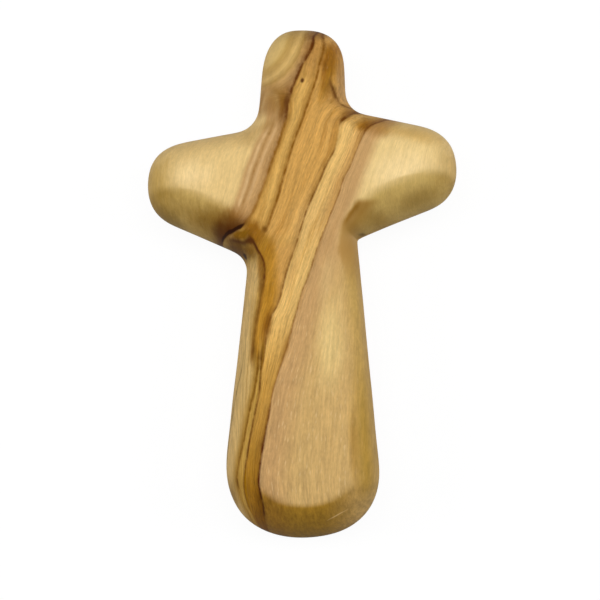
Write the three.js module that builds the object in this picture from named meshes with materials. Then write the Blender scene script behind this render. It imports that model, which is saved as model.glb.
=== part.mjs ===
// A holding cross: a palm-sized cross carved from one piece of olive wood, with a flared shaft,
// a short head, two blunt tapered arms and every edge rounded over by hand.
// It lies on its back, with +X towards its right arm, +Y towards its head and +Z out of its front.
// All sizes are in millimetres.
import * as THREE from "three";
import { mergeVertices } from "three/addons/utils/BufferGeometryUtils.js";

// The blank. Reaches are measured from the middle of the crossing.
const THICKNESS = 20;
const FOOT_REACH = 80;
const HEAD_REACH = 35;
const LEFT_ARM_REACH = 35;
const RIGHT_ARM_REACH = 35;

// The shaft flares from its waist, under the arms, to its foot.
const WAIST_WIDTH = 24.6;
const WAIST_SHIFT = 0.2;
const FOOT_WIDTH = 38.4;

// The head is a little narrower at its top, and leans a little to the right.
const HEAD_ROOT_WIDTH = 20;
const HEAD_TOP_WIDTH = 17.6;
const HEAD_LEAN = 0.5;

// The arms taper to their ends and rise a little on the way out. The left one sits lower.
const ARM_ROOT_DEPTH = 29.2;
const ARM_END_DEPTH = 14.8;
const LEFT_ARM_LIFT = -2;
const LEFT_ARM_RISE = 2.7;
const RIGHT_ARM_LIFT = 2.2;
const RIGHT_ARM_RISE = 2.1;
const ARM_TIP_DROP = 1;

// How far each rounded corner of the outline runs back along the side that leads to it.
const FOOT_ROUND_LEFT = 19.5;
const FOOT_ROUND_RIGHT = 16.8;
const HEAD_ROUND_LEFT = 10.5;
const HEAD_ROUND_RIGHT = 8.2;
const HEAD_FLAT = 2;
const ARM_UNDER_ROUND = 6.6;
const ARM_OVER_ROUND = 8.8;
const LEFT_SHOULDER_FILLET = 4.8;
const RIGHT_SHOULDER_FILLET = 4.2;
const LEFT_ARMPIT_FILLET = 3.6;
const RIGHT_ARMPIT_FILLET = 0.8;

// How far the edge rounding reaches over the face, at each place of the outline, and the largest
// share of the way to the spine that its rings of facets may take up.
const EDGE_FOOT_END = 8.2;
const EDGE_FOOT_SIDE = 7.4;
const EDGE_WAIST = 5.6;
const EDGE_ARM_UNDER = 9.2;
const ARM_UNDER_FULL_SHARE = 0.3;
const EDGE_ARM_TIP = 9.6;
const EDGE_ARM_OVER = 8.6;
const EDGE_SHOULDER = 6.6;
const EDGE_HEAD = 7.8;
const EDGE_LONGEST_SHARE = 0.85;

// The sander that rounded the shaft's right side ran on past the armpit and left a short valley in
// the front. It is as wide as stated on the shaft's side of its line, and a share of that on the arm's.
const VALLEY_LENGTH = 11;
const VALLEY_WIDTH = 4.6;
const VALLEY_DEPTH = 1.8;
const VALLEY_TAIL = 3;
const VALLEY_ARM_SHARE = 0.5;

// A corner's fullness is 0.55 for a plain round arc, and more for a squarer one.
const ARM_FULLNESS = 0.68;
const FOOT_FULLNESS = 0.62;
const HEAD_FULLNESS = 0.65;
const FILLET_FULLNESS = 0.6;

// The section of an edge is a quarter round, or a bevel, or a share of each. An exponent of 2 at the face
// and at the nose is the quarter round, and less makes a crisper line on the face and a narrower nose.
const ROUND_EXPONENT = 2;
const BEVEL_FACE_EXPONENT = 1.2;
const BEVEL_NOSE_EXPONENT = 1.7;
const FOOT_BEVEL_SHARE = 1;
const ARM_BEVEL_SHARE = 0.75;
const ROUND_BEVEL_SHARE = 0;

// How finely the form is cut into facets.
const EDGE_RING_COUNT = 8;
const FACE_RING_COUNT = 3;
const FOOT_STEP_COUNTS = { side: 20, end: 9 };
const ARM_STEP_COUNTS = { side: 8, end: 8 };
const HEAD_STEP_COUNTS = { side: 5, end: 7 };
const OUTLINE_POINT_COUNT = 1600;
const BEND_WEIGHT = 4;

const point = (x, y) => new THREE.Vector2(x, y);
const between = (a, b, share) => a.clone().lerp(b, share);
const towards = (a, b, length) => between(a, b, length / a.distanceTo(b));

// The twelve corners of the cross, before they are rounded, and the tips of its four limbs.
const rightEnd = RIGHT_ARM_LIFT + RIGHT_ARM_RISE;
const leftEnd = LEFT_ARM_LIFT + LEFT_ARM_RISE;
const corner = {
  footRight: point(FOOT_WIDTH / 2, -FOOT_REACH),
  armpitRight: point(WAIST_WIDTH / 2 + WAIST_SHIFT, RIGHT_ARM_LIFT - ARM_ROOT_DEPTH / 2),
  underRight: point(RIGHT_ARM_REACH, rightEnd - ARM_END_DEPTH / 2),
  overRight: point(RIGHT_ARM_REACH, rightEnd + ARM_END_DEPTH / 2),
  shoulderRight: point(HEAD_ROOT_WIDTH / 2, RIGHT_ARM_LIFT + ARM_ROOT_DEPTH / 2),
  headRight: point(HEAD_LEAN + HEAD_TOP_WIDTH / 2, HEAD_REACH),
  headLeft: point(HEAD_LEAN - HEAD_TOP_WIDTH / 2, HEAD_REACH),
  shoulderLeft: point(-HEAD_ROOT_WIDTH / 2, LEFT_ARM_LIFT + ARM_ROOT_DEPTH / 2),
  overLeft: point(-LEFT_ARM_REACH, leftEnd + ARM_END_DEPTH / 2),
  underLeft: point(-LEFT_ARM_REACH, leftEnd - ARM_END_DEPTH / 2),
  armpitLeft: point(WAIST_SHIFT - WAIST_WIDTH / 2, LEFT_ARM_LIFT - ARM_ROOT_DEPTH / 2),
  footLeft: point(-FOOT_WIDTH / 2, -FOOT_REACH),
};
const tip = {
  foot: point(0, -FOOT_REACH),
  right: point(RIGHT_ARM_REACH, rightEnd - ARM_TIP_DROP),
  head: point(0, HEAD_REACH),
  left: point(-LEFT_ARM_REACH, leftEnd - ARM_TIP_DROP),
};

// Each corner's rounding starts on the side before it and ends on the side after it.
const names = Object.keys(corner);
const topRun = (c) => Math.abs(c.x - tip.head.x) - HEAD_FLAT / 2;
const cuts = {
  footRight: [corner.footRight.distanceTo(tip.foot), FOOT_ROUND_RIGHT],
  armpitRight: [RIGHT_ARMPIT_FILLET, RIGHT_ARMPIT_FILLET],
  underRight: [ARM_UNDER_ROUND, corner.underRight.distanceTo(tip.right)],
  overRight: [corner.overRight.distanceTo(tip.right), ARM_OVER_ROUND],
  shoulderRight: [RIGHT_SHOULDER_FILLET, RIGHT_SHOULDER_FILLET],
  headRight: [HEAD_ROUND_RIGHT, topRun(corner.headRight)],
  headLeft: [topRun(corner.headLeft), HEAD_ROUND_LEFT],
  shoulderLeft: [LEFT_SHOULDER_FILLET, LEFT_SHOULDER_FILLET],
  overLeft: [ARM_OVER_ROUND, corner.overLeft.distanceTo(tip.left)],
  underLeft: [corner.underLeft.distanceTo(tip.left), ARM_UNDER_ROUND],
  armpitLeft: [LEFT_ARMPIT_FILLET, LEFT_ARMPIT_FILLET],
  footLeft: [FOOT_ROUND_LEFT, corner.footLeft.distanceTo(tip.foot)],
};
function fullnessOf(name) {
  if (name.startsWith("foot")) return FOOT_FULLNESS;
  if (name.startsWith("head")) return HEAD_FULLNESS;
  return name.startsWith("under") || name.startsWith("over") ? ARM_FULLNESS : FILLET_FULLNESS;
}
const rounding = {};
const path = new THREE.Path();
names.forEach((name, i) => {
  const at = corner[name];
  const start = towards(at, corner[names.at(i - 1)], cuts[name][0]);
  const end = towards(at, corner[names[(i + 1) % names.length]], cuts[name][1]);
  const fullness = fullnessOf(name);
  const a = between(start, at, fullness);
  const b = between(end, at, fullness);
  if (i === 0) path.moveTo(start.x, start.y);
  else path.lineTo(start.x, start.y);
  path.bezierCurveTo(a.x, a.y, b.x, b.y, end.x, end.y);
  rounding[name] = { start, end };
});
path.closePath();

// The outline as closely and evenly spaced points, anticlockwise seen from the front.
const outline = path.getSpacedPoints(OUTLINE_POINT_COUNT).slice(0, OUTLINE_POINT_COUNT);
const spacing = path.getLength() / OUTLINE_POINT_COUNT;
const nearest = (p) => {
  let best = 0;
  outline.forEach((o, i) => {
    if (o.distanceTo(p) < outline[best].distanceTo(p)) best = i;
  });
  return best;
};
const stepsFrom = (i, j) => (j - i + OUTLINE_POINT_COUNT) % OUTLINE_POINT_COUNT;

// Places round the outline where the edge's reach and its share of bevel are known. In between they
// change smoothly.
const stations = [
  [tip.foot, EDGE_FOOT_END, FOOT_BEVEL_SHARE],
  [corner.footRight, EDGE_FOOT_END, FOOT_BEVEL_SHARE],
  [rounding.footRight.end, EDGE_FOOT_SIDE, ROUND_BEVEL_SHARE],
  [corner.armpitRight, EDGE_WAIST, ROUND_BEVEL_SHARE],
  [between(corner.armpitRight, corner.underRight, ARM_UNDER_FULL_SHARE), EDGE_ARM_UNDER, ARM_BEVEL_SHARE],
  [corner.underRight, EDGE_ARM_UNDER, ARM_BEVEL_SHARE],
  [tip.right, EDGE_ARM_TIP, ROUND_BEVEL_SHARE],
  [corner.overRight, EDGE_ARM_OVER, ROUND_BEVEL_SHARE],
  [corner.shoulderRight, EDGE_SHOULDER, ROUND_BEVEL_SHARE],
  [tip.head, EDGE_HEAD, ROUND_BEVEL_SHARE],
  [corner.shoulderLeft, EDGE_SHOULDER, ROUND_BEVEL_SHARE],
  [corner.overLeft, EDGE_ARM_OVER, ROUND_BEVEL_SHARE],
  [tip.left, EDGE_ARM_TIP, ROUND_BEVEL_SHARE],
  [corner.underLeft, EDGE_ARM_UNDER, ARM_BEVEL_SHARE],
  [between(corner.armpitLeft, corner.underLeft, ARM_UNDER_FULL_SHARE), EDGE_ARM_UNDER, ARM_BEVEL_SHARE],
  [corner.armpitLeft, EDGE_WAIST, ROUND_BEVEL_SHARE],
  [rounding.footLeft.start, EDGE_FOOT_SIDE, ROUND_BEVEL_SHARE],
  [corner.footLeft, EDGE_FOOT_END, FOOT_BEVEL_SHARE],
].map(([place, reach, bevel]) => ({ index: nearest(place), reach, bevel }));
const edge = outline.map((at) => ({ at, reach: 0, bevel: 0 }));
stations.forEach((from, i) => {
  const to = stations[(i + 1) % stations.length];
  const run = stepsFrom(from.index, to.index);
  for (let step = 0; step < run; step += 1) {
    const blend = THREE.MathUtils.smoothstep(step, 0, run);
    const e = edge[(from.index + step) % OUTLINE_POINT_COUNT];
    e.reach = THREE.MathUtils.lerp(from.reach, to.reach, blend);
    e.bevel = THREE.MathUtils.lerp(from.bevel, to.bevel, blend);
  }
});

// How far inside the edge a place of the face lies, as a share of the edge's reach there, and the
// edge's share of bevel there. Every bit of the edge counts, by the inverse seventh power of its
// distance: beside a straight edge that is the plain distance, and where edges face each other their
// roundings melt together, as under a sanding pad.
const FALLOFF_EXPONENT = 7;
const STRAIGHT_EDGE_SUM = 16 / 15;
function inset(p) {
  let sum = 0;
  let bevel = 0;
  for (const e of edge) {
    const distance = Math.max(p.distanceTo(e.at), spacing);
    const pull = (e.reach / distance) ** FALLOFF_EXPONENT * (spacing / e.reach);
    sum += pull;
    bevel += pull * e.bevel;
  }
  return { share: (sum / STRAIGHT_EDGE_SUM) ** (-1 / (FALLOFF_EXPONENT - 1)), bevel: bevel / sum };
}

// Half the thickness at a place of the face.
function halfThickness(p) {
  const { share, bevel } = inset(p);
  if (share >= 1) return THICKNESS / 2;
  const atFace = THREE.MathUtils.lerp(ROUND_EXPONENT, BEVEL_FACE_EXPONENT, bevel);
  const atNose = THREE.MathUtils.lerp(ROUND_EXPONENT, BEVEL_NOSE_EXPONENT, bevel);
  return (THICKNESS / 2) * (1 - (1 - share) ** atFace) ** (1 / atNose);
}

// The valley runs up the line of the shaft's right side, from the armpit to nothing.
function valleyDepth(p) {
  const { x, y } = corner.armpitRight;
  const fade = p.y > y ? 1 - (p.y - y) / VALLEY_LENGTH : 1 - (y - p.y) / VALLEY_TAIL;
  if (fade <= 0) return 0;
  const width = VALLEY_WIDTH * fade * (p.x < x ? 1 : VALLEY_ARM_SHARE);
  const across = Math.abs(p.x - x) / width;
  return across < 1 ? VALLEY_DEPTH * fade * (1 - across) ** 2 : 0;
}

// The spine of the form, which every spoke of the facets ends on.
const middle = point(0, 0);
const limbs = [
  {
    end: point(0, FOOT_ROUND_RIGHT - FOOT_REACH),
    marks: [rounding.footLeft.start, tip.foot, rounding.footRight.end],
    roots: [corner.armpitLeft, corner.armpitRight],
    steps: FOOT_STEP_COUNTS,
  },
  {
    end: point(RIGHT_ARM_REACH - ARM_OVER_ROUND, rightEnd - ARM_TIP_DROP),
    marks: [rounding.underRight.start, tip.right, rounding.overRight.end],
    roots: [corner.armpitRight, corner.shoulderRight],
    steps: ARM_STEP_COUNTS,
  },
  {
    end: point(HEAD_LEAN, HEAD_REACH - HEAD_ROUND_RIGHT),
    marks: [rounding.headRight.start, tip.head, rounding.headLeft.end],
    roots: [corner.shoulderRight, corner.shoulderLeft],
    steps: HEAD_STEP_COUNTS,
  },
  {
    end: point(ARM_OVER_ROUND - LEFT_ARM_REACH, leftEnd - ARM_TIP_DROP),
    marks: [rounding.overLeft.start, tip.left, rounding.underLeft.end],
    roots: [corner.shoulderLeft, corner.armpitLeft],
    steps: ARM_STEP_COUNTS,
  },
];

// Picks points of the outline between two marks, closer together where it bends.
function pick(from, to, steps) {
  const first = nearest(from);
  const run = stepsFrom(first, nearest(to));
  const at = (i) => outline[(first + i + OUTLINE_POINT_COUNT) % OUTLINE_POINT_COUNT];
  const travelled = [0];
  for (let i = 1; i <= run; i += 1) {
    const before = at(i).clone().sub(at(i - 1));
    const after = at(i + 1).clone().sub(at(i));
    travelled.push(travelled[i - 1] + spacing + BEND_WEIGHT * before.angleTo(after));
  }
  const picked = [];
  for (let step = 0; step < steps; step += 1) {
    const goal = (travelled[run] * step) / steps;
    picked.push((first + travelled.findIndex((d) => d >= goal)) % OUTLINE_POINT_COUNT);
  }
  return picked;
}

// Spokes run inwards from the outline to the spine: out along a limb's first side, round its end
// and back along its other side.
const spokes = [];
for (const { end, marks, roots, steps } of limbs) {
  const out = pick(roots[0], marks[0], steps.side);
  const round = [...pick(marks[0], marks[1], steps.end), ...pick(marks[1], marks[2], steps.end)];
  const back = pick(marks[2], roots[1], steps.side);
  out.forEach((index, i) => spokes.push({ index, inner: between(middle, end, i / steps.side) }));
  round.forEach((index) => spokes.push({ index, inner: end }));
  back.forEach((index, i) => spokes.push({ index, inner: between(end, middle, i / steps.side) }));
}

// The rings of facets lie closest together at the edge, where the form bends most.
function ringPoints({ index, inner }) {
  const outer = outline[index];
  const length = outer.distanceTo(inner);
  const edgeRun = Math.min(edge[index].reach, EDGE_LONGEST_SHARE * length);
  const points = [];
  for (let ring = 0; ring <= EDGE_RING_COUNT; ring += 1) {
    points.push(towards(outer, inner, edgeRun * (1 - Math.cos((ring / EDGE_RING_COUNT) * (Math.PI / 2)))));
  }
  for (let ring = 1; ring <= FACE_RING_COUNT; ring += 1) {
    points.push(between(points[EDGE_RING_COUNT], inner, ring / FACE_RING_COUNT));
  }
  return points;
}

// The front and back of each ring point. The outline itself is where the two meet, and the valley
// never takes more than half of what stands above it.
const columns = spokes.map((spoke) =>
  ringPoints(spoke).map((p, ring) => {
    const rise = ring === 0 ? 0 : halfThickness(p);
    const cut = ring === 0 ? 0 : Math.min(valleyDepth(p), rise / 2);
    return {
      front: new THREE.Vector3(p.x, p.y, THICKNESS / 2 + rise - cut),
      back: new THREE.Vector3(p.x, p.y, THICKNESS / 2 - rise),
    };
  }),
);

// Two triangles for each cell of the net, or one where the spokes share their inner end.
const facets = [];
function addTriangle(a, b, c) {
  if (a.distanceTo(b) > 0 && b.distanceTo(c) > 0 && c.distanceTo(a) > 0) facets.push(a, b, c);
}
columns.forEach((here, i) => {
  const next = columns[(i + 1) % columns.length];
  for (let ring = 0; ring < EDGE_RING_COUNT + FACE_RING_COUNT; ring += 1) {
    const cell = [here[ring], next[ring], next[ring + 1], here[ring + 1]];
    const [a, b, c, d] = cell.map((v) => v.front);
    const [e, f, g, h] = cell.map((v) => v.back);
    addTriangle(a, b, c);
    addTriangle(a, c, d);
    addTriangle(e, g, f);
    addTriangle(e, h, g);
  }
});

// The middle of the outline's length and width goes to the origin, and the back lies at height 0.
const form = mergeVertices(new THREE.BufferGeometry().setFromPoints(facets), 1e-4);
form.computeBoundingBox();
const centre = form.boundingBox.getCenter(new THREE.Vector3());
form.translate(-centre.x, -centre.y, 0);
form.computeVertexNormals();

const oliveWood = new THREE.MeshStandardMaterial({ color: 0xc79a5b, roughness: 0.45, metalness: 0 });
const cross = new THREE.Mesh(form, oliveWood);
cross.name = "carved_cross";

const holdingCross = new THREE.Group();
holdingCross.add(cross);

export default holdingCross;
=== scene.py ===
"""A holding cross carved from one piece of olive wood, waxed, lying on a pale table.

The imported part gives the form. Here the form gets its smooth hand-sanded surface, and the wood gets
its figure: growth lines, sapwood, heartwood and knots, placed in the board that the cross was cut
from. Lengths are in millimetres unless a name says otherwise, and Blender's own are in metres.
"""
import math

import bpy
import mathutils
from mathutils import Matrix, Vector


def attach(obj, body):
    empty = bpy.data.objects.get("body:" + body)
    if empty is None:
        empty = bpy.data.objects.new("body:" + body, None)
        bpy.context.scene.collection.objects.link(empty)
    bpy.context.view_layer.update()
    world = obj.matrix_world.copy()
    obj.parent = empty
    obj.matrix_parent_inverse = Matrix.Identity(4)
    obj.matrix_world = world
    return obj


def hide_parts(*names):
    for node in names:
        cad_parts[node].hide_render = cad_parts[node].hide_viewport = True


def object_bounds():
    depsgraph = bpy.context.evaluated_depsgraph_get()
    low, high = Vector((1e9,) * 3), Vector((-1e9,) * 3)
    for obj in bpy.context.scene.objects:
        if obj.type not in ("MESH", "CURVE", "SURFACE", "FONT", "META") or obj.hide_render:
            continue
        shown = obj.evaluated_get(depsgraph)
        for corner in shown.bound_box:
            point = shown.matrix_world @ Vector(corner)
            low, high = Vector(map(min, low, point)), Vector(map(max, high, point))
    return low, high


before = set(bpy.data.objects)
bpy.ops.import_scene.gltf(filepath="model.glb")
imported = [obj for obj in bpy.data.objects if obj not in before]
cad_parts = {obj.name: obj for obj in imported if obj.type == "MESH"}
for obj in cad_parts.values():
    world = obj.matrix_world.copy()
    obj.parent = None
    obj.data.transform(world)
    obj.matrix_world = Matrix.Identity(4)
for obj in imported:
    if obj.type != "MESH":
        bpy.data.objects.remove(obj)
cad_low, cad_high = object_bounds()

MM = 0.001
MM_PER_METRE = 1000
THICKNESS = MM_PER_METRE * (cad_high.z - cad_low.z)

# The skin of the refined form: how near its points are welded, how many times its faces are split
# in four, and how deep and how wide the unevenness is that sanding by hand leaves.
WELD = 0.01
SPLITS = 2
UNEVEN_DEPTH = 0.3
UNEVEN_WIDTH = 18

# The board's growth layers lean over to the right as they go back from the front.
LAYER_LEAN = 0.35

# How far the lines, the swirls and the edges of the spots stray, as a share of the ragged noise.
LINE_STRAY = 0.16
SWIRL_STRAY = 0.5
SPOT_STRAY = 0.5
NOISE_MIDDLE = 0.5

# The heights and the places across that the curves of the figure cover.
HEIGHTS = (-60, 60)
WIDTHS = (-40, 40)

# A half depth so great that a spot runs right through the board.
THROUGH = 1e6

# The heights between which the front turns into the foot's bevel.
FOOT_BEVEL = (-42, -47)

# Where the growth curls round the two middles on the head's left. Each is a height and a place
# across, and the lower rings are also that much taller and wider than true circles.
UPPER_RINGS = (54.6, -10.4)
LOWER_RINGS = (39.2, -7.9, 1.25, 1.0)

# What the wax's warm sheen adds to a flat face under the lamps, in red, green and blue. It leaves
# at least this share of a dark colour.
WAX_TINT = (1, 0.72, 0.3)
WAX_SHEEN = tuple(0.018 * share for share in WAX_TINT)
LEAST_SHARE = 0.4

# How rough the waxed wood is, how much smoother out on the arms, and how much the fibres vary it.
ROUGHNESS = 0.56
ARMS_SMOOTHER = 0.12
FIBRES_ROUGHER = 0.16
SPECULAR = 0.25
RELIEF_DEPTH = 0.05
RELIEF_STRENGTH = 0.35

# The soft panels: where each hangs, how wide and how long it is, all in metres, and its watts.
PANELS = [
    ((0, 0.2, 0.78), 0.9, 0.3, 3.92),
    ((-0.72, 0.1, 0.42), 0.4, 0.4, 3.06),
    ((0.72, 0.1, 0.42), 0.4, 0.4, 3.06),
]
PANELS_AIM = (0, 0, 0.01)

# The light from all round, and how bright the room behind the cross looks to the camera.
ROOM_LIGHT = 0.12
BACKDROP = 1

# The table's size in metres, how bright it glows to the camera, and the glow's share of its look.
TABLE_SIZE = 4
TABLE_GLOW = 1.1
TABLE_GLOW_SHARE = 0.85

CAMERA_PLACE = (-0.43 * MM, -3.49 * MM, 410 * MM)
CAMERA_LENS = 105.9
CAMERA_SENSOR = 36

# The lines of the figure, as places on the front from the head down, each (height, place across).
LINES = {
    "first": [
        (60, 3.0), (55.4, 1.6), (53.5, 2.0), (51.3, 1.6), (49.0, 0.4), (46.3, -0.9), (43.7, -2.0),
        (41.5, -2.7), (39.7, -3.2), (37.8, -3.4), (35.8, -3.8), (33.5, -4.5), (31.2, -5.2),
        (29.0, -6.0), (26.3, -7.0), (21.9, -8.4), (18.6, -9.7), (15.7, -10.9), (14.4, -12.0),
        (12.5, -13.6), (8, -17), (-10, -26), (-60, -36),
    ],
    "second": [
        (60, 0.4), (55.5, 3.1), (54.0, 4.0), (51.9, 4.3), (48.5, 3.8), (45.4, 3.2), (43.0, 2.4),
        (40.4, 1.5), (36.7, 0.2), (33.6, -1.0), (30.1, -2.2), (26.3, -3.4), (21.9, -4.6),
        (18.6, -5.5), (15.3, -6.7), (12.6, -7.7), (11.2, -8.8), (0, -14),
    ],
    "third": [
        (41, 15), (38.1, 10.3), (37.1, 9.5), (35.9, 8.6), (33.6, 8.1), (30.1, 7.2), (26.3, 5.3),
        (21.9, 3.5), (18.6, 2.0), (15.3, 0.7), (12.0, -0.4), (9.3, -1.2), (2.3, -3.5), (-1.1, -4.4),
        (-4.2, -5.3), (-7.4, -7.0), (-11.7, -8.0), (-15.7, -8.4), (-19.4, -9.0), (-27.3, -10.2),
        (-37, -12.3), (-60, -12.3),
    ],
    "fourth": [
        (40, 21), (36.1, 15.7), (35.0, 14.3), (33.2, 13.5), (31.0, 12.6), (28.9, 11.7),
        (26.0, 10.5), (23.3, 9.1), (19.5, 7.9), (16.9, 6.9), (12.8, 5.2), (9.2, 3.8), (2.3, 1.5),
        (-1.5, 0.1), (-6.0, -1.2), (-11.0, -2.6), (-15.5, -3.9), (-19.8, -5.3), (-22.7, -6.2),
        (-30.0, -7.6), (-36.4, -8.7), (-43.4, -9.6), (-46.4, -9.4), (-49.2, -9.2), (-52.4, -9.6),
        (-58, -11),
    ],
    "knot tail": [
        (14, -13), (9.8, -11.2), (7.5, -9.8), (4.9, -8.5), (1.4, -8.5), (-1.1, -9.0), (-4.7, -9.7),
        (-8.3, -10.5), (-11.7, -11.1), (-15.3, -11.5), (-22, -12.5),
    ],
    "foot outer": [
        (-16, -9.8), (-20.1, -10.1), (-23.2, -10.65), (-26.1, -11.4), (-31.6, -12.65),
        (-36.6, -13.85), (-40.1, -14.8), (-43.6, -15.4), (-47.4, -14.9), (-52, -13.5),
    ],
    "foot inner": [
        (-16, -9.0), (-19.4, -9.2), (-22.7, -9.4), (-27.3, -10.2), (-32.3, -11.3), (-37.0, -12.2),
        (-41.0, -13.0), (-44.8, -13.6), (-48.7, -13.5), (-51.5, -13.0), (-58, -11.5),
    ],
    "foot rim": [
        (-14, -14.6), (-19.7, -15.3), (-22.9, -16.3), (-27.7, -17.3), (-32.8, -18.4),
        (-36.6, -19.0), (-44, -20),
    ],
    "head right": [
        (56, 5.0), (53, 5.4), (49.7, 5.3), (46.4, 5.5), (43.5, 6.2), (41.4, 6.9), (40.2, 7.6),
        (39.6, 8.6), (39.2, 11),
    ],
    "pale outer": [
        (40, -7.0), (34.6, -7.8), (31.9, -9.0), (28.5, -10.2), (25.2, -11.5), (21.9, -12.4),
        (18.6, -13.5), (16.8, -14.1), (8, -18), (-60, -40),
    ],
    "pale inner": [
        (40, -4.6), (34.5, -5.8), (31.4, -7.1), (28.1, -8.6), (25.2, -9.7), (21.9, -10.8),
        (17, -12.6),
    ],
    "mauve streak": [
        (40, -5.8), (34.6, -6.8), (31.9, -8.0), (28.5, -9.3), (25.2, -10.6), (21.9, -11.6),
        (18.6, -12.7), (16.8, -13.4),
    ],
    "sapwood right": [
        (60, 24), (36.2, 18.5), (34.2, 17.3), (31.9, 16.2), (28.5, 15.0), (25.7, 14.0),
        (22.6, 12.8), (18.6, 11.3), (15.3, 9.7), (11.5, 8.3), (7.6, 7.1), (4.2, 5.8), (0.7, 4.4),
        (-3.5, 3.4), (-7.9, 2.8), (-12.3, 2.4), (-16.7, 2.0), (-21.2, 1.8), (-25.6, 1.6), (-60, 1),
    ],
    "right flank": [
        (60, 17), (20, 13), (14, 10.6), (8, 9.6), (4.2, 9.4), (-3.5, 10.0), (-12.3, 10.8),
        (-21.2, 11.0), (-30.0, 11.0), (-38.9, 11.4), (-50, 12.6),
    ],
    "valley edge": [
        (30, 15), (19.0, 12.0), (17.7, 11.5), (16.4, 10.6), (15.1, 9.7), (13.7, 8.8), (12.4, 8.3),
        (11.1, 8.1), (9.8, 7.9), (7.1, 7.9), (4.5, 8.7), (1.8, 9.4), (-1.3, 10.5), (-20, 12),
    ],
    "ochre edge": [
        (16, -9), (12.0, -8.4), (9.8, -7.0), (6.2, -5.7), (2.7, -5.6), (-1.5, -5.4), (-5, -6.0),
        (-7.9, -7.2), (-12.3, -8.4),
    ],
}

# The swirls round the knot by the left armpit run across the board: each is (place across, height).
SWIRLS = {
    "knot brow": [
        (-24, 4), (-20.5, 8.7), (-19.6, 9.8), (-17.8, 11.2), (-15.9, 11.9), (-14.3, 12.6),
        (-12.9, 13.3), (-12.0, 14.0), (-8, 18),
    ],
    "knot lid": [
        (-22, 9.2), (-17.5, 9.6), (-16.7, 9.8), (-14.9, 9.5), (-13.1, 9.3), (-12.0, 9.8),
        (-11.2, 9.8), (-10.6, 8.9), (-10.1, 8.0), (-8, 4),
    ],
}


def srgb(red, green, blue):
    """A colour as a paint chart gives it, from 0 to 255, for a colour socket."""
    def linear(level):
        share = level / 255
        return share / 12.92 if share <= 0.04045 else ((share + 0.055) / 1.055) ** 2.4
    return (linear(red), linear(green), linear(blue), 1)


def wood(red, green, blue):
    """A wood's colour as it looks on a waxed flat face, with the wax's sheen taken off."""
    levels = zip(srgb(red, green, blue), WAX_SHEEN)
    return tuple(max(level - sheen, LEAST_SHARE * level) for level, sheen in levels) + (1,)


# The wood's colours, by where they are.
TONES = {name: wood(*levels) for name, levels in {
    "left sapwood": (223, 191, 129), "left of the first line": (190, 150, 98),
    "first to second": (204, 160, 86), "edges of first to second": (178, 132, 62),
    "second to third": (200, 152, 80), "third to fourth": (221, 180, 108),
    "by the fourth line": (200, 155, 90), "golden low": (188, 142, 66),
    "golden in the foot": (160, 114, 36), "right of the fourth line": (192, 152, 100),
    "right sapwood": (226, 196, 134),
    "shaft's left edge": (200, 166, 104), "left of the knot's tail": (162, 118, 26),
    "right of the knot's tail": (182, 130, 44), "left of the third line": (198, 150, 80),
    "foot ochre high": (180, 134, 34), "foot ochre low": (164, 116, 14),
    "foot stripe": (192, 150, 70), "shaft's right half": (202, 166, 106),
    "flank high": (194, 158, 78), "flank low": (176, 139, 60), "flank behind": (184, 150, 88),
    "knot halo": (100, 56, 4), "knot brow": (60, 18, 0), "knot lid": (80, 40, 4),
    # The valley's two browns are painted shade.
    "valley": (174, 132, 68), "valley edge": (140, 96, 24),
    "pores": (238, 208, 156), "scratch": (216, 180, 116),
}.items()}

# What multiplies the wood's colour: in its dark veins, as painted shade under the cross, over the top
# of it, and as painted shade on the foot's bevel.
VEIN_SHADE = (0.80, 0.71, 0.55, 1)
PAINTED_UNDERSIDE_SHADE = srgb(202, 190, 122)
OVER_SHADE = srgb(214, 204, 158)
PAINTED_FOOT_SHADE = srgb(202, 186, 108)

# The rings on the head's left, each (distance from their middle, colour), and how far they reach.
UPPER_RING_REACH = 16
UPPER_RING_TONES = [
    (0.0, wood(208, 176, 110)), (5.6, wood(206, 174, 108)), (6.8, wood(190, 154, 86)),
    (7.8, wood(186, 150, 86)), (9.0, wood(206, 170, 104)), (10.2, wood(176, 140, 78)),
    (10.8, wood(186, 148, 90)), (11.8, wood(194, 154, 98)), (13.2, wood(184, 142, 86)),
]
LOWER_RING_REACH = 8
LOWER_RING_TONES = [
    (0.0, wood(166, 124, 72)), (1.6, wood(162, 120, 68)), (2.6, wood(178, 140, 86)),
    (3.5, wood(152, 110, 54)), (4.6, wood(158, 118, 64)),
]

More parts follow.
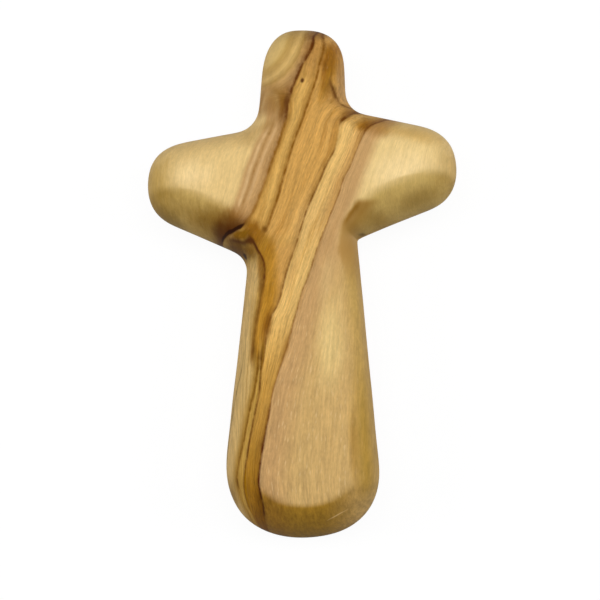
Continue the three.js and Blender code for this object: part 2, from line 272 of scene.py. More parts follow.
# Soft patches of colour. Each is the wood's colour, how strong, the core's share of the patch, then
# its height, place across, half height, half width and turn in degrees, and its depth and half
# depth where the patch is only in part of the board.
PATCHES_UNDER_LINES = [
    # The head: brown by the first line, ochre right of the second, a grey-brown strip at its side.
    (wood(150, 110, 46), 0.45, 0.1, 41.4, -6.0, 5.4, 4.4, -20),
    (wood(124, 80, 20), 0.65, 0.1, 38.6, -4.2, 6.0, 1.8, -10),
    (wood(180, 132, 68), 0.85, 0.2, 51.0, 2.2, 8.6, 3.0, -8),
    (wood(140, 98, 40), 0.7, 0.1, 56.4, 1.8, 2.6, 3.6, 0),
    (wood(144, 94, 8), 0.95, 0.3, 49.6, 5.5, 7.6, 1.8, -4),
    (wood(160, 110, 24), 0.8, 0.1, 44.4, 5.2, 6.4, 1.9, -14),
    (wood(190, 148, 92), 0.85, 0.5, 47.4, 8.0, 9.0, 1.6, -4),
    (wood(182, 134, 62), 0.7, 0.1, 37.9, 9.8, 3.0, 3.6, 20),
    (wood(172, 122, 40), 0.8, 0.1, 35.8, 13.0, 2.8, 3.4, 20),
    # The right shoulder's brown beyond the fourth line, and the left shoulder's.
    (wood(166, 118, 56), 0.75, 0.1, 34.8, 16.8, 3.4, 5.0, -20),
    (wood(150, 100, 24), 0.8, 0.1, 35.4, 13.4, 1.8, 2.4, 30),
    (wood(168, 130, 72), 0.6, 0.1, 35.2, -8.4, 2.2, 4.2, 25),
    (wood(190, 154, 94), 0.6, 0.1, 33.0, -12.0, 4.4, 3.6, 0),
    # Painted highlight: the arms are paler along their crests.
    (wood(246, 218, 162), 0.5, 0.0, 24.0, -25.0, 5.0, 9.0, 8),
    (wood(248, 220, 164), 0.6, 0.0, 25.4, 22.5, 6.4, 11.0, 12),
    # Painted shade darkens their tips and undersides. The shaft's right side and the foot's left
    #     are darker too, and a band along the right arm's top is browner.
    (wood(178, 144, 72), 0.85, 0.1, 22.0, -35.0, 13.0, 10.0, 0),
    (wood(184, 148, 80), 0.85, 0.1, 26.0, 36.0, 13.0, 10.0, 0),
    (wood(160, 124, 54), 0.6, 0.1, 14.4, 15.0, 4.0, 5.0, 14, 5, 10),
    (wood(150, 120, 60), 0.7, 0.1, 14.8, -33.0, 5.0, 8.0, -20, 6, 9),
    (wood(180, 146, 82), 0.7, 0.1, 16.2, -25.0, 4.0, 7.0, -20, 6, 9),
    (wood(162, 120, 46), 0.5, 0.1, -36.0, 11.4, 13.0, 1.7, 3, 0, 9),
    (wood(142, 106, 40), 0.7, 0.1, -47.0, -18.0, 5.0, 2.8, 14, 7, 8),
    (wood(158, 126, 62), 0.6, 0.1, 19.4, 25.0, 3.4, 9.0, 22, 6, 9),
    (wood(206, 164, 88), 0.6, 0.1, 33.4, 24.0, 2.6, 11.0, -14),
    # Brown all round the knot by the left armpit, partly painted shade under the arm, ochre on
    #     its right, and a golden island under its brow.
    (wood(150, 110, 34), 0.75, 0.1, 14.0, -21.0, 5.0, 9.0, 24, 3, 14),
    (wood(138, 86, 12), 0.7, 0.1, 14.2, -16.6, 3.6, 6.4, 30, 0, 14),
    (wood(92, 50, 4), 0.7, 0.1, 11.6, -19.6, 3.6, 4.0, 24, 4, 12),
    (wood(140, 92, 14), 0.95, 0.35, 11.4, -10.6, 4.2, 3.4, 24, 0, 14),
    (wood(162, 114, 32), 0.7, 0.2, 8.6, -7.6, 4.6, 2.4, 10, 0, 14),
    (wood(112, 76, 22), 0.95, 0.4, 7.0, -16.6, 3.6, 5.6, 12, 3, 12),
    (wood(150, 106, 22), 0.95, 0.45, 10.9, -14.2, 1.3, 3.4, 10, 0, 9),
    (wood(136, 94, 24), 0.85, 0.2, 7.2, -12.0, 2.6, 1.9, 12, 0, 10),
    # The shaft: brown beside the knot's tail and the third line, and pale down its right half,
    #     where the palest stretch is in part a painted highlight.
    (wood(140, 94, 16), 0.75, 0.1, 3.5, -9.2, 6.5, 2.0, 0, 0, 16),
    (wood(130, 82, 8), 0.95, 0.1, -9.0, -7.8, 6.0, 1.7, -12, 0, 16),
    (wood(150, 102, 24), 0.5, 0.1, -1.8, -7.4, 4.4, 1.3, -8, 0, 16),
    (wood(198, 152, 86), 0.6, 0.1, 2.6, -2.0, 7.0, 1.3, -18, 0, 16),
    (wood(138, 94, 22), 0.85, 0.1, -15.0, -11.3, 5.0, 1.6, -6, 0, 16),
    (wood(206, 166, 102), 0.5, 0.1, 14.0, 1.0, 11.0, 5.0, -20, 0, 16),
    (wood(152, 106, 44), 0.7, 0.1, -14.0, -3.6, 6.0, 1.1, -16, 0, 16),
    # In part a painted highlight.
    (wood(228, 198, 132), 0.75, 0.1, -13.0, 6.4, 15.0, 4.6, -2, 0, 16),
    (wood(214, 180, 122), 0.5, 0.1, 1.5, 5.4, 8.0, 2.6, -8, 0, 16),
]
PATCHES_OVER_LINES = [
    # Dark where the first line bends at the head's foot.
    (wood(134, 88, 24), 0.5, 0.0, 40.9, -4.3, 3.8, 1.9, -12),
    (wood(92, 52, 6), 0.8, 0.1, 40.5, -3.5, 2.4, 0.9, -12),
    # The head's pin knot and the pale wood that bulges over it.
    (wood(84, 44, 6), 0.95, 0.35, 45.0, 0.1, 0.80, 0.68, -20, 0, 3),
    (wood(168, 122, 52), 0.5, 0.1, 46.4, 0.7, 1.5, 0.5, -20, 0, 3),
    # Dark specks: at the second line's end, in the knot, and in its tail. The darkest one in the
    #     knot is painted shade in the crevice of the left armpit.
    (wood(110, 68, 8), 0.8, 0.1, 12.2, -8.2, 1.2, 1.0, 40, 0, 8),
    (wood(96, 54, 4), 0.85, 0.2, 9.6, -11.7, 1.1, 1.5, 0, 0, 8),
    (wood(60, 20, 0), 0.97, 0.4, 6.3, -14.1, 1.1, 0.7, 20, 5, 5),
    (wood(104, 66, 6), 0.7, 0.1, -14.6, -11.3, 1.5, 0.7, -4, 0, 12),
    (wood(110, 72, 8), 0.7, 0.1, -14.6, -8.8, 3.2, 0.8, -4, 0, 12),
    # Painted shade in the right armpit's notch, and a speck in the left shoulder.
    (wood(66, 42, 8), 0.9, 0.3, 10.9, 11.7, 0.8, 1.2, 10, 5, 5),
    (wood(150, 112, 60), 0.6, 0.1, 33.3, -7.4, 0.7, 0.7, 0, 0, 6),
]

# Growth lines. Each is a line, its colour, how strong, its half width, the lowest and highest place
# it is seen at, then how wide its brown shade spreads to the left, and how strong that is.
GROWTH_LINES = [
    ("first", wood(98, 54, 5), 0.92, 0.36, 36.0, 57, 1.3, 0.55),
    ("first", wood(134, 88, 30), 0.86, 0.40, 24.0, 36, 1.1, 0.42),
    ("first", wood(150, 104, 44), 0.80, 0.38, 13.0, 24, 1.1, 0.34),
    ("second", wood(128, 82, 18), 0.86, 0.30, 11.8, 57, 0.9, 0.30),
    ("third", wood(150, 108, 44), 0.36, 0.50, 18, 33, 0.8, 0.24),
    ("third", wood(112, 68, 14), 0.66, 0.22, -18, 30, 0.8, 0.28),
    ("third", wood(106, 62, 10), 0.90, 0.55, 35.6, 42, 1.6, 0.45),
    ("fourth", wood(132, 88, 38), 0.58, 0.22, -30, 34, 0.7, 0.22),
    ("fourth", wood(112, 66, 12), 0.75, 0.40, 33.8, 39, 1.4, 0.50),
    ("fourth", wood(100, 56, 12), 0.50, 0.24, -37, -27, 0.8, 0.30),
    ("fourth", wood(86, 42, 6), 0.80, 0.26, -51.9, -33.5, 0.8, 0.35),
    ("knot tail", wood(98, 54, 4), 0.80, 0.32, -1, 10, 1.1, 0.50),
    ("knot tail", wood(122, 78, 8), 0.70, 0.40, -16, 0, 1.0, 0.45),
    ("foot outer", wood(118, 78, 10), 0.80, 0.34, -46, -15, 0.8, 0.30),
    ("foot inner", wood(100, 60, 6), 0.78, 0.28, -42, -15, 0.6, 0.25),
    ("foot inner", wood(116, 76, 12), 0.55, 0.28, -51, -42, 0.3, 0.10),
    ("foot rim", wood(120, 98, 50), 0.60, 0.20, -40, -15, 0.4, 0.15),
    ("head right", wood(106, 64, 6), 0.70, 0.36, 38.5, 45, 1.4, 0.40),
    ("pale outer", wood(226, 190, 138), 0.40, 0.40, 17, 34, 0.3, 0.10),
    ("pale inner", wood(214, 176, 126), 0.36, 0.32, 19, 35, 0.3, 0.10),
    ("mauve streak", wood(154, 112, 60), 0.50, 0.40, 17, 37, 0.3, 0.10),
]


class Value:
    """A number or colour that changes over the wood. Sums on it add Math nodes."""

    def __init__(self, finish, socket):
        self.finish = finish
        self.socket = socket

    def __add__(self, other):
        return self.finish.maths("ADD", self, other)

    def __sub__(self, other):
        return self.finish.maths("SUBTRACT", self, other)

    def __mul__(self, other):
        return self.finish.maths("MULTIPLY", self, other)

    def __truediv__(self, other):
        return self.finish.maths("DIVIDE", self, other)

    def __radd__(self, other):
        return self.finish.maths("ADD", other, self)

    def __rsub__(self, other):
        return self.finish.maths("SUBTRACT", other, self)

    def __rmul__(self, other):
        return self.finish.maths("MULTIPLY", other, self)

    def __abs__(self):
        return self.finish.maths("ABSOLUTE", self)


def set_stops(node, stops):
    """Sets a colour ramp's stops, each (place from 0 to 1, colour)."""
    elements = node.color_ramp.elements
    while len(elements) < len(stops):
        elements.new(0.5)
    for element, (place, tone) in zip(elements, stops):
        element.position = place
        element.color = tone


def set_points(node, points):
    """Sets a curve's points, each (value, result) from 0 to 1. It stays level past its ends."""
    line = node.mapping.curves[0]
    while len(line.points) < len(points):
        line.points.new(0.5, 0.5)
    for handle, place in zip(line.points, points):
        handle.location = place
    node.mapping.extend = "HORIZONTAL"
    node.mapping.update()


class Finish:
    """A material, or the light of the world, and the nodes that it is made of."""

    def __init__(self, owner):
        self.owner = owner
        owner.use_nodes = True
        self.tree = owner.node_tree
        self.tree.nodes.clear()

    def node(self, kind, settings=(), inputs=()):
        """A node of a kind, with its settings, a ramp's stops or a curve's points among them, and
        then the values or links of its sockets."""
        node = self.tree.nodes.new("ShaderNode" + kind)
        for name, setting in dict(settings).items():
            if name == "stops":
                set_stops(node, setting)
            elif name == "points":
                set_points(node, setting)
            else:
                setattr(node, name, setting)
        for name, given in dict(inputs).items():
            if isinstance(given, Value):
                self.tree.links.new(given.socket, node.inputs[name])
            else:
                node.inputs[name].default_value = given
        return node

    def value(self, node, output=0):
        """What one of a node's outputs gives."""
        return Value(self, node.outputs[output])

    def maths(self, operation, *values):
        """A sum on numbers, by the name that Blender gives the operation."""
        return self.value(self.node("Math", {"operation": operation}, enumerate(values)))

    def vector(self, operation, *values):
        """The same on places and colours."""
        return self.value(self.node("VectorMath", {"operation": operation}, enumerate(values)))

    def step(self, value, low, high):
        """0 at low, 1 at high, and a smooth change between. High may be the lower number."""
        settings = {"interpolation_type": "SMOOTHSTEP"}
        return self.value(self.node("MapRange", settings, {0: value, 1: low, 2: high}))

    def bell(self, value, width):
        """1 where the value is 0, and falling off to nothing past about twice the width."""
        share = value / width
        return self.maths("EXPONENT", share * share * -1)

    def mix(self, share, under, over, blend="MIX"):
        """One colour laid over another, as strongly as the share says."""
        settings = {"data_type": "RGBA", "blend_type": blend}
        return self.value(self.node("Mix", settings, {0: share, 6: under, 7: over}), 2)

    def place(self, x, y, z):
        """A place, or a colour, from its three numbers."""
        return self.value(self.node("CombineXYZ", (), {0: x, 1: y, 2: z}))

    def noise(self, place, detail=2.0, roughness=0.5):
        """Cloudy noise from about 0.25 to 0.75, with cells of about one unit."""
        inputs = {"Vector": place, "Scale": 1.0, "Detail": detail, "Roughness": roughness}
        return self.value(self.node("TexNoise", (), inputs))

    def sway(self, place, detail=2.0, roughness=0.5):
        """The same noise, but with its middle at 0."""
        return self.noise(place, detail, roughness) - NOISE_MIDDLE

    def curve(self, value, points, value_range=HEIGHTS, result_range=WIDTHS):
        """A smooth curve through given points, each (value, result)."""
        low, high = value_range
        bottom, top = result_range
        shares = sorted(((value_at - low) / (high - low), (result_at - bottom) / (top - bottom))
                        for value_at, result_at in points)
        inputs = {"Factor": 1, "Value": (value - low) / (high - low)}
        bend = self.value(self.node("FloatCurve", {"points": shares}, inputs))
        return bend * (top - bottom) + bottom

    def ramp(self, value, reach, tones):
        """The colour at a value from 0 to its reach, by (value, colour) stops."""
        stops = [(place / reach, tone) for place, tone in tones]
        return self.value(self.node("ValToRGB", {"stops": stops}, {"Fac": value / reach}))


class Board:
    """The board that the cross was cut from: height, place across and depth as the figure runs."""

    def __init__(self, finish):
        self.finish = finish
        coordinates = finish.node("TexCoord")
        axes = finish.node("SeparateXYZ", (), {0: finish.value(coordinates, "Object")})
        normal = finish.node("SeparateXYZ", (), {0: finish.value(coordinates, "Normal")})
        self.x, self.height, z = (finish.value(axes, i) * MM_PER_METRE for i in range(3))
        self.facing_head = finish.value(normal, 1)
        self.depth = THICKNESS - z
        leaning = self.x - self.depth * LAYER_LEAN
        # Slow and small waves in the growth, and a drift that grows with the depth. A number beside
        # a length in a noise's place is how many of its cells there are to a millimetre.
        slow = finish.sway(finish.place(leaning * 0.12, self.height * 0.06, self.depth * 0.08))
        small = finish.sway(finish.place(leaning * 0.5, self.height * 0.4, self.depth * 0.3))
        drift = finish.sway(finish.place(3.7, self.height * 0.045, 1.3), 1)
        self.across = leaning + slow * 0.5 + small * 0.18 + drift * self.depth * 0.35
        self.position = finish.place(self.across, self.height, self.depth)
        self.swapped_position = finish.place(self.height, self.across, 0)
        ragged = finish.place(self.across * 0.9, self.height * 0.35, self.depth * 0.3)
        self.ragged = finish.sway(ragged, 3, 0.65)
        self.spot_stray = self.ragged * SPOT_STRAY
        self.known = {}

    def beside(self, name):
        """How far right of a line a place is."""
        if name not in self.known:
            bend = self.finish.curve(self.height, LINES[name])
            self.known[name] = self.across - bend + self.ragged * LINE_STRAY
        return self.known[name]

    def above(self, name):
        """How far above a swirl a place is."""
        if name not in self.known:
            bend = self.finish.curve(self.across, SWIRLS[name], WIDTHS, HEIGHTS)
            self.known[name] = self.height - bend + self.ragged * SWIRL_STRAY
        return self.known[name]

    def between(self, low, high, soft):
        """1 between two heights, 0 outside them, and a soft change at each."""
        finish = self.finish
        return (finish.step(self.height, low - soft, low + soft)
                * finish.step(self.height, high + soft, high - soft))

    def distance(self, height, across, half_height=1, half_across=1, turn=0, depth=0,
                 half_depth=THROUGH):
        """How far a place is from a spot's middle, where 1 is the spot's ragged edge."""
        cosine, sine = math.cos(math.radians(turn)), math.sin(math.radians(turn))
        straight = (cosine / half_across, cosine / half_height, 1 / half_depth)
        crossed = (sine / half_across, -sine / half_height, 0)
        start = (-(across * cosine + height * sine) / half_across,
                 (across * sine - height * cosine) / half_height, -depth / half_depth)
        turned = self.finish.vector("MULTIPLY_ADD", self.swapped_position, crossed, start)
        place = self.finish.vector("MULTIPLY_ADD", self.position, straight, turned)
        length = self.finish.node("VectorMath", {"operation": "LENGTH"}, {0: place})
        return self.finish.value(length, "Value") + self.spot_stray

    def spot(self, core, *place):
        """1 in a spot's core, 0 outside its edge."""
        return self.finish.step(self.distance(*place), 1, core)


def refine_form(node, name):
    """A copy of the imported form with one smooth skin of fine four-sided faces, sanded by hand."""
    cross = bpy.data.objects.new(name, node.data.copy())
    bpy.context.scene.collection.objects.link(cross)
    bpy.ops.object.select_all(action="DESELECT")
    cross.select_set(True)
    bpy.context.view_layer.objects.active = cross
    bpy.ops.object.mode_set(mode="EDIT")
    bpy.ops.mesh.select_all(action="SELECT")
    bpy.ops.mesh.remove_doubles(threshold=WELD * MM)
    bpy.ops.mesh.tris_convert_to_quads()
    bpy.ops.object.mode_set(mode="OBJECT")
    finer = cross.modifiers.new("finer", "SUBSURF")
    finer.levels = SPLITS
    finer.render_levels = SPLITS
    bpy.ops.object.modifier_apply(modifier=finer.name)
    unevenness = bpy.data.textures.new("hand_sanding", "CLOUDS")
    unevenness.noise_scale = UNEVEN_WIDTH * MM
    unevenness.noise_depth = 1
    sanding = cross.modifiers.new("sanding", "DISPLACE")
    sanding.texture = unevenness
    sanding.strength = UNEVEN_DEPTH * MM
    sanding.mid_level = NOISE_MIDDLE
    bpy.ops.object.modifier_apply(modifier=sanding.name)
    bpy.ops.object.shade_smooth()
    return cross


def olive_wood():
    """Olive wood: pale sapwood either side of a streaked heart with dark growth lines, waxed."""
    finish = Finish(bpy.data.materials.new("olive_wood_waxed"))
    board = Board(finish)
    colour = broad_bands(finish, board)
    colour = head_rings(finish, board, colour)
    colour = patches(finish, board, colour, PATCHES_UNDER_LINES)
    grain = Grain(finish, board)
    colour = grain.streak(colour)
    colour = growth_lines(finish, board, colour, grain)
    colour = knot_swirls(finish, board, colour)
    colour = valley(finish, board, colour)
    colour = patches(finish, board, colour, PATCHES_OVER_LINES)
    colour = painted_shade_by_facing(finish, board, colour)
    colour = scratch(finish, board, colour)

    on_arms = finish.step(abs(board.across), 12, 22)
    roughness = ROUGHNESS - on_arms * ARMS_SMOOTHER + grain.fine * FIBRES_ROUGHER
    leaning = (board.x - board.height * 0.25) * 2.2
    relief = finish.noise(finish.place(leaning, board.height * 0.15, board.depth), 3, 0.7)
    bump = finish.node("Bump", (), {
        "Strength": RELIEF_STRENGTH, "Distance": RELIEF_DEPTH * MM, "Height": relief,
    })
    shader = finish.node("BsdfPrincipled", (), {
        "Base Color": colour, "Roughness": roughness, "Specular IOR Level": SPECULAR,
        "Specular Tint": WAX_TINT + (1,), "Normal": finish.value(bump),
    })
    finish.node("OutputMaterial", (), {"Surface": finish.value(shader)})
    return finish.owner


def broad_bands(finish, board):
    """The broad bands of colour, from the left arm's sapwood over the heart to the right arm's."""
    def right_of(name, soft=0.15):
        return finish.step(board.beside(name), -soft, soft)

    in_shaft = finish.step(board.height, 11.5, 7.5)
    in_foot = finish.step(board.height, -9, -20)

    by_first = finish.step(board.beside("pale outer"), -2.0, -0.6)
    colour = finish.mix(by_first, TONES["left sapwood"], TONES["left of the first line"])
    colour = finish.mix(right_of("first"), colour, TONES["first to second"])
    colour = finish.mix(right_of("second"), colour, TONES["second to third"])

    # Between the first two lines the wood is darker by each line, down to the crossing's foot.
    share = board.beside("first") / (board.beside("first") - board.beside("second"))
    edges = finish.step(share, 0.5, 0.1) + finish.step(share, 0.62, 0.92)
    edges = edges * right_of("first") * (1 - right_of("second"))
    edges = edges * finish.step(board.height, 11, 14)
    colour = finish.mix(edges * 0.75, colour, TONES["edges of first to second"])

    # The shaft's left side: pale at the edge, ochre from the knot's tail and the foot's line on.
    strip = board.beside("knot tail")
    strip = strip + (board.beside("foot outer") - strip) * in_foot
    left_side = in_shaft * (1 - right_of("third"))
    colour = finish.mix(left_side, colour, TONES["shaft's left edge"])
    by_tail = left_side * finish.step(strip, -2.4, -0.1)
    colour = finish.mix(by_tail * 0.8, colour, TONES["left of the knot's tail"])
    inner = finish.mix(right_of("ochre edge", 1.4), TONES["right of the knot's tail"],
                       TONES["left of the third line"])
    colour = finish.mix(left_side * finish.step(strip, -0.2, 0.2), colour, inner)
    foot_ochre = finish.mix(finish.step(board.height, -18, -42), TONES["foot ochre high"],
                            TONES["foot ochre low"])
    colour = finish.mix(left_side * in_foot * right_of("foot inner"), colour, foot_ochre)
    stripe = left_side * in_foot * right_of("foot outer") * (1 - right_of("foot inner"))
    colour = finish.mix(stripe, colour, TONES["foot stripe"])

    # The golden band right of the third line.
    by_fourth = finish.step(board.beside("fourth"), -3.6, -0.6) * finish.step(board.height, 6, 18)
    golden = finish.mix(by_fourth, TONES["third to fourth"], TONES["by the fourth line"])
    golden = finish.mix(finish.step(board.height, 0, -24), golden, TONES["golden low"])
    golden = finish.mix(finish.step(board.height, -23, -44), golden, TONES["golden in the foot"])
    colour = finish.mix(right_of("third", 0.25), colour, golden)

    # Right of the fourth line: sapwood on the arm, beige and then an olive flank down the shaft.
    colour = finish.mix(right_of("fourth"), colour, TONES["right of the fourth line"])
    on_arm = finish.step(board.beside("sapwood right"), -1.2, 2.2) * (1 - in_shaft)
    colour = finish.mix(on_arm, colour, TONES["right sapwood"])
    beige = finish.step(board.beside("fourth"), 2, 9) * in_shaft
    colour = finish.mix(beige, colour, TONES["shaft's right half"])
    flank = finish.mix(finish.step(board.height, -2, -32), TONES["flank high"],
                       TONES["flank low"])
    flank = finish.mix(finish.step(board.depth, 1.5, 6), flank, TONES["flank behind"])
    return finish.mix(finish.step(board.beside("right flank"), -1.6, 2.6) * in_shaft, colour, flank)


def head_rings(finish, board, colour):
    """The sapwood of the head's left side, whose growth curls round two middles at its edge."""
    left_side = finish.step(board.beside("first"), 0.15, -0.15)
    ringed = finish.ramp(board.distance(*UPPER_RINGS), UPPER_RING_REACH, UPPER_RING_TONES)
    share = left_side * finish.step(board.height, 39.5, 44.5)
    colour = finish.mix(share, colour, ringed)
    lower = board.distance(*LOWER_RINGS)
    ringed = finish.ramp(lower, LOWER_RING_REACH, LOWER_RING_TONES)
    share = left_side * board.between(37.4, 43.6, 2.0) * finish.step(lower, 6.5, 3.6)
    return finish.mix(share * 0.85, colour, ringed)


def patches(finish, board, colour, table):
    """The soft patches of a table, laid one over another."""
    for tone, strength, core, *place in table:
        colour = finish.mix(board.spot(core, *place) * strength, colour, tone)
    return colour


class Grain:
    """Streaks along the grain, coarse and fine, thin veins and pores."""

    def __init__(self, finish, board):
        self.finish = finish
        self.board = board
        height, depth, layer = board.height, board.depth, self.layer()
        self.knot = board.spot(0.3, 10.5, -14.8, 5.0, 8.0)
        self.coarse = finish.sway(finish.place(layer * 0.55, height * 0.03, depth * 0.2), 3, 0.6)
        self.fine = finish.sway(finish.place(layer * 2.5, height * 0.15, depth * 0.8), 3, 0.7)
        self.speckle = finish.sway(finish.place(layer * 3.6, height * 0.9, depth * 2.0), 2, 0.6)
        mottle = finish.place(board.across * 0.45, height * 0.35, depth * 0.3)
        self.mottle = finish.sway(mottle, 3, 0.6)
        veins = finish.noise(finish.place(layer * 0.9, height * 0.05, depth * 0.4 + 9), 3, 0.6)
        self.dark_veins = finish.step(veins, 0.52, 0.68)
        self.pale_veins = finish.step(veins, 0.48, 0.32)
        pores = finish.noise(finish.place(layer * 3.8, height * 0.4, depth * 1.5), 1)
        self.pores = finish.step(pores, 0.61, 0.76)
        self.heart = (finish.step(board.beside("first"), -4, 0)
                      * finish.step(board.beside("fourth"), 3, -1))

    def layer(self):
        """Which growth layer a place is in. The streaks follow the layers."""
        finish, board = self.finish, self.board
        first, second = board.beside("first"), board.beside("second")
        third, fourth = board.beside("third"), board.beside("fourth")
        # Between two growth lines a layer keeps its share of the way from one to the other.
        middle = second / (second - third) * 8
        right = third / (third - fourth) * 6
        inner = middle + (right - middle) * finish.step(third, -0.05, 0.05)
        # Outside the heart they fan out, and lean less and less the further they are from it.
        bend = board.across - fourth - 4
        spread = 1 - finish.maths("MINIMUM", bend, 0) / 10 - finish.maths("MAXIMUM", bend, 0) / 30
        outer = fourth / spread * 1.4
        left = first / (1 + (board.across - first + 12) / 25)
        ringed = finish.step(board.height, 40, 43)
        left = left + (5 - board.distance(*UPPER_RINGS) - left) * ringed
        leftmost = finish.step(first, 0.05, -0.05) * finish.step(board.height, 8, 14)
        layer = inner + (outer - inner) * finish.step(fourth, -0.05, 0.05)
        return layer + (left - layer) * leftmost

    def streak(self, colour):
        """A colour with the streaks, pores and veins laid over it, calmer in the knot, and with
        painted sheen on the pores of the shaft's front.
        """
        finish, board = self.finish, self.board
        shaft = finish.step(board.height, 10, -14)
        foot = finish.step(board.height, *FOOT_BEVEL)
        calm = 1 - self.knot * 0.6
        # Painted sheen: the pores show pale on the shaft's front, from the fourth line to the right
        #         flank.
        sheen_flecks = finish.step(board.height, 8, -16) * finish.step(board.beside("fourth"), 0, 2)
        sheen_flecks = sheen_flecks * finish.step(board.depth, 1.6, 0.4)
        sheen_flecks = sheen_flecks * finish.step(board.beside("right flank"), 0.5, -2.5)
        light = (1 + self.coarse * (0.26 + self.heart * 0.45) * calm
                 + self.fine * (0.34 + self.heart * 0.66 + shaft * 0.4 + foot * 0.5) * calm
                 + self.speckle * (0.34 + self.heart * 0.3)
                 + self.mottle * 0.26
                 + self.pale_veins * (0.03 + self.heart * 0.10))
        colour = finish.mix(1, colour, finish.place(light, light, light), "MULTIPLY")
        colour = finish.mix(self.pores * (0.06 + sheen_flecks * 0.34), colour, TONES["pores"])
        veined = self.dark_veins * (0.15 + self.heart * 0.6) * calm
        return finish.mix(veined, colour, VEIN_SHADE, "MULTIPLY")


def growth_lines(finish, board, colour, grain):
    """The dark lines between the heart's bands, each with a streaky brown shade on its left."""
    waver = finish.place(board.height * 0.45, board.across * 0.7, board.depth * 0.1)
    uneven = finish.sway(waver, 3, 0.7) * 3.0 + 1
    streaky = grain.fine * 1.4 + 1
    for name, tone, strength, half_width, low, high, shade_width, shade in GROWTH_LINES:
        offset = board.beside(name)
        ends = board.between(low, high, 1.5)
        haze = finish.step(offset, -shade_width * 2.2, 0.1) * finish.step(offset, 0.3, 0.05)
        colour = finish.mix(haze * ends * streaky * uneven * shade, colour, tone)
        line = finish.bell(offset, half_width) * ends * uneven
        colour = finish.mix(line * strength, colour, tone)
    return colour


def knot_swirls(finish, board, colour):
    """The dark lines that curl round the knot by the left armpit, and the dark brown over them, which
    is partly painted shade under the arm.
    """
    front = finish.step(board.depth, 17, 12)
    above = board.above("knot brow")
    width = finish.step(board.across, -31, -20) * finish.step(board.across, -10.4, -14.4)
    reach = finish.step(board.across, -13.5, -18) * 3.0 + 2.8
    halo = finish.step(above / reach, 1, 0) * finish.step(above, -0.9, -0.1) * width
    colour = finish.mix(halo * front * 0.95, colour, TONES["knot halo"])
    ends = finish.step(board.across, -21.4, -18.4) * finish.step(board.across, -11.4, -14.2)
    brow = finish.step(finish.bell(above, 0.50) * ends, 0.25, 0.75)
    colour = finish.mix(brow * front * 0.97, colour, TONES["knot brow"])
    ends = finish.step(board.across, -19.2, -16.0) * finish.step(board.across, -9.4, -10.2)
    lid = finish.bell(board.above("knot lid"), 0.75) * ends
    return finish.mix(lid * front * 0.85, colour, TONES["knot lid"])


def valley(finish, board, colour):
    """Painted shade in the valley by the right armpit, whose flank faces away from the lamps. It
    starts at a point.
    """
    front = finish.step(board.depth, 13, 8)
    inside = board.x - finish.curve(board.height, LINES["valley edge"]) + board.ragged * 0.8
    share = finish.step(inside, -0.4, 0.9) * finish.step(inside, 6.5, 2.5)
    share = share * finish.step(board.height, -2, 8) * finish.step(board.height, 19.4, 17.8)
    colour = finish.mix(share * front * 0.85, colour, TONES["valley"])
    edge = finish.bell(inside - 0.8, 0.8) * board.between(13.4, 18.2, 1.2)
    return finish.mix(edge * front * 0.75, colour, TONES["valley edge"])


def painted_shade_by_facing(finish, board, colour):
    """Painted shade: faces turned away from the head and its lamp go browner, most of all underneath
    and on the foot's bevel, and faces towards the head are a little darker.
    """
    foot = finish.step(board.height, *FOOT_BEVEL)
    under = finish.step(board.facing_head, -0.06, -0.42) * (1 - foot * 0.8)
    foot = foot * finish.step(board.x, 18, 4) * finish.step(board.x, -13, -8)
    painted_sole_shade = finish.step(board.facing_head, -0.06, -0.34) * foot
    over = finish.step(board.facing_head, 0.4, 1.0)
    colour = finish.mix(under * 0.66, colour, PAINTED_UNDERSIDE_SHADE, "MULTIPLY")
    colour = finish.mix(over * 0.3, colour, OVER_SHADE, "MULTIPLY")
    return finish.mix(painted_sole_shade, colour, PAINTED_FOOT_SHADE, "MULTIPLY")


def scratch(finish, board, colour):
    """A short pale scratch on the foot's bevel."""
    mark = board.spot(0.3, -51.3, 7.0, 0.2, 3.3, 28, 3, 9)
    return finish.mix(mark * 0.8, colour, TONES["scratch"])


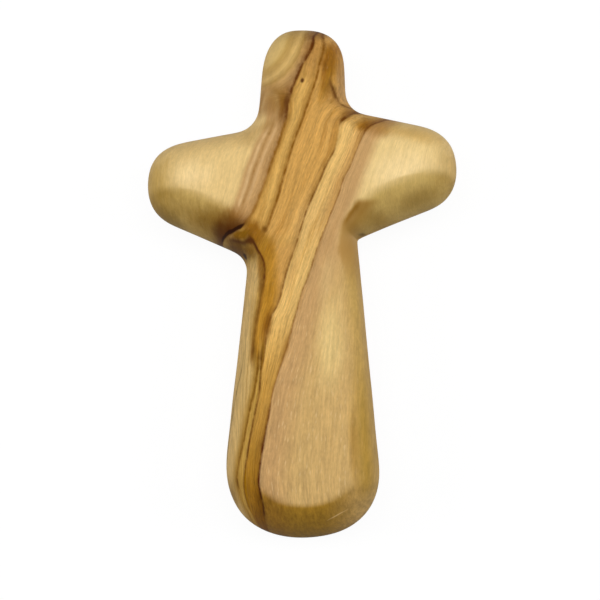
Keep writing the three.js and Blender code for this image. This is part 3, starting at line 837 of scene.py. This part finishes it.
def floor():
    """A pale table, which the camera sees almost white and which keeps the cross's shadow."""
    bpy.ops.mesh.primitive_plane_add(size=TABLE_SIZE, location=(0, 0, 0))
    table = bpy.context.object
    table.name = "table"
    finish = Finish(bpy.data.materials.new("table_white"))
    seen = finish.value(finish.node("LightPath"), "Is Camera Ray")
    paint = finish.value(finish.node("BsdfDiffuse", (), {"Color": srgb(190, 190, 190)}))
    glow = finish.node("Emission", (), {"Color": (1, 1, 1, 1), "Strength": TABLE_GLOW})
    mixed = finish.node("MixShader", (), {0: seen * TABLE_GLOW_SHARE, 1: paint,
                                          2: finish.value(glow)})
    finish.node("OutputMaterial", (), {"Surface": finish.value(mixed)})
    table.data.materials.append(finish.owner)


def panel(place, wide, long, watts):
    """A soft panel that shines on the cross."""
    bpy.ops.object.light_add(type="AREA", location=place)
    lamp = bpy.context.object
    lamp.data.shape = "RECTANGLE"
    lamp.data.size = wide
    lamp.data.size_y = long
    lamp.data.energy = watts
    aim = mathutils.Vector(PANELS_AIM) - mathutils.Vector(place)
    lamp.rotation_euler = aim.to_track_quat("-Z", "Y").to_euler()


def studio():
    """A soft panel overhead towards the head, one low at each side, and light from all round."""
    for place, wide, long, watts in PANELS:
        panel(place, wide, long, watts)
    room = Finish(bpy.data.worlds.new("studio"))
    bpy.context.scene.world = room.owner
    seen = room.value(room.node("LightPath"), "Is Camera Ray")
    strength = seen * (BACKDROP - ROOM_LIGHT) + ROOM_LIGHT
    light = room.node("Background", (), {"Color": (1, 1, 1, 1), "Strength": strength})
    room.node("OutputWorld", (), {"Surface": room.value(light)})


def camera():
    """Straight above, as the cross was photographed."""
    bpy.ops.object.camera_add(location=CAMERA_PLACE, rotation=(0, 0, 0))
    eye = bpy.context.object
    eye.data.lens = CAMERA_LENS
    eye.data.sensor_width = CAMERA_SENSOR
    bpy.context.scene.camera = eye


cross = refine_form(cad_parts["carved_cross"], "olive_wood_cross")
cross.data.materials.clear()
cross.data.materials.append(olive_wood())
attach(cross, "root")
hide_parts("carved_cross")

floor()
studio()
camera()
bpy.context.scene.view_settings.view_transform = "Standard"
